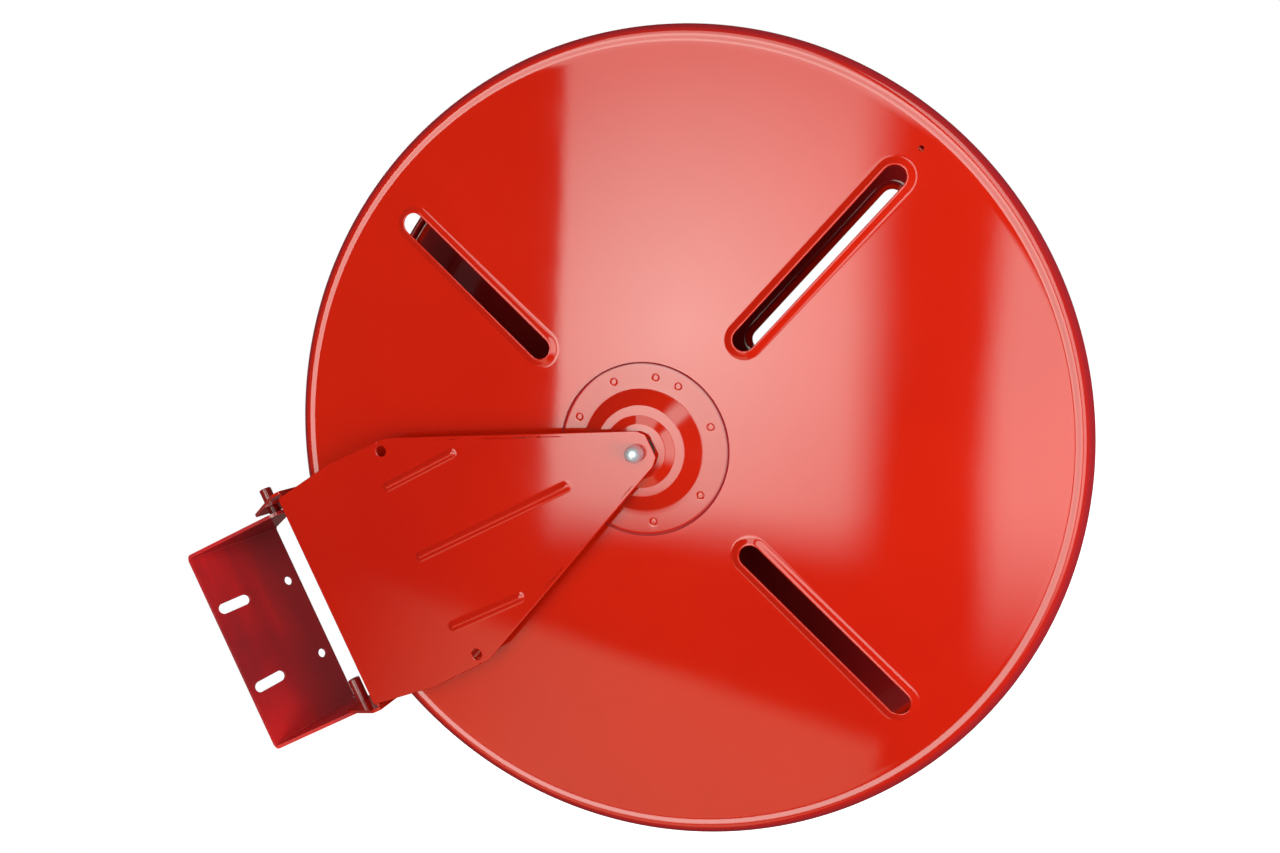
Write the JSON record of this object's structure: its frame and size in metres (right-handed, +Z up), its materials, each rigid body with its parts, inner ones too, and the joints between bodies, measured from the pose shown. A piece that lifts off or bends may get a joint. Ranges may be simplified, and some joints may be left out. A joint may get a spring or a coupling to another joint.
{
  "type": "fire hose reel",
  "caption": "Wall-mounted swing-out storage reel for lay-flat fire hose, with slotted discs between two arms on a lift-off hinge bracket.",
  "frame": {"origin": "point on the wall bracket's back face, which lies against the wall, straight behind the middle of the swing axis", "axes": "+X out of the wall into the room, +Z up along the swing axis, +Y to the left of someone who stands against the wall and looks into the room; the arms rest 13.5 degrees from +X towards +Y"},
  "size_m": [0.6918, 0.2338, 0.5596],
  "materials": {
    "bracket_enamel": "glossy red enamel over brushed sheet",
    "pin_enamel": "glossy dark red enamel",
    "frame_enamel": "glossy red enamel",
    "disc_enamel": "glossy red enamel",
    "hub_enamel": "glossy red enamel",
    "bright_plating": "bright plated steel",
    "plain_steel": "turned steel",
    "bushing_nylon": "matt black nylon"
  },
  "bodies": {
    "wall_bracket": {"wall_bracket": "bracket_enamel", "upper_hinge_pin": "pin_enamel", "lower_hinge_pin": "pin_enamel"},
    "swing_frame": {"upper_hinge_ear": "frame_enamel", "lower_hinge_ear": "frame_enamel", "frame_spine": "frame_enamel", "front_arm": "frame_enamel", "rear_arm": "frame_enamel", "axle_bolt": "bright_plating", "axle_sleeve": "plain_steel", "axle_washer": "bright_plating", "axle_nut": "bright_plating", "front_thrust_washer": "plain_steel", "rear_thrust_washer": "plain_steel"},
    "reel": {"front_disc": "disc_enamel", "rear_disc": "disc_enamel", "front_hub_cap": "hub_enamel", "rear_hub_cap": "hub_enamel", "drum_core": "hub_enamel", "front_bushing": "bushing_nylon", "rear_bushing": "bushing_nylon"}
  },
  "joints": [
    {"name": "frame_swing", "type": "hinge", "parent": "wall_bracket", "child": "swing_frame", "pos_m": [0.075, 0, 0], "axis": [0, 0, 1], "range_deg": [-103.5, 76.5]},
    {"name": "reel_spin", "type": "hinge", "parent": "swing_frame", "child": "reel", "pos_m": [0.41018, 0.08047, 0.005], "axis": [0.2334, -0.9724, 0], "continuous": true}
  ]
}
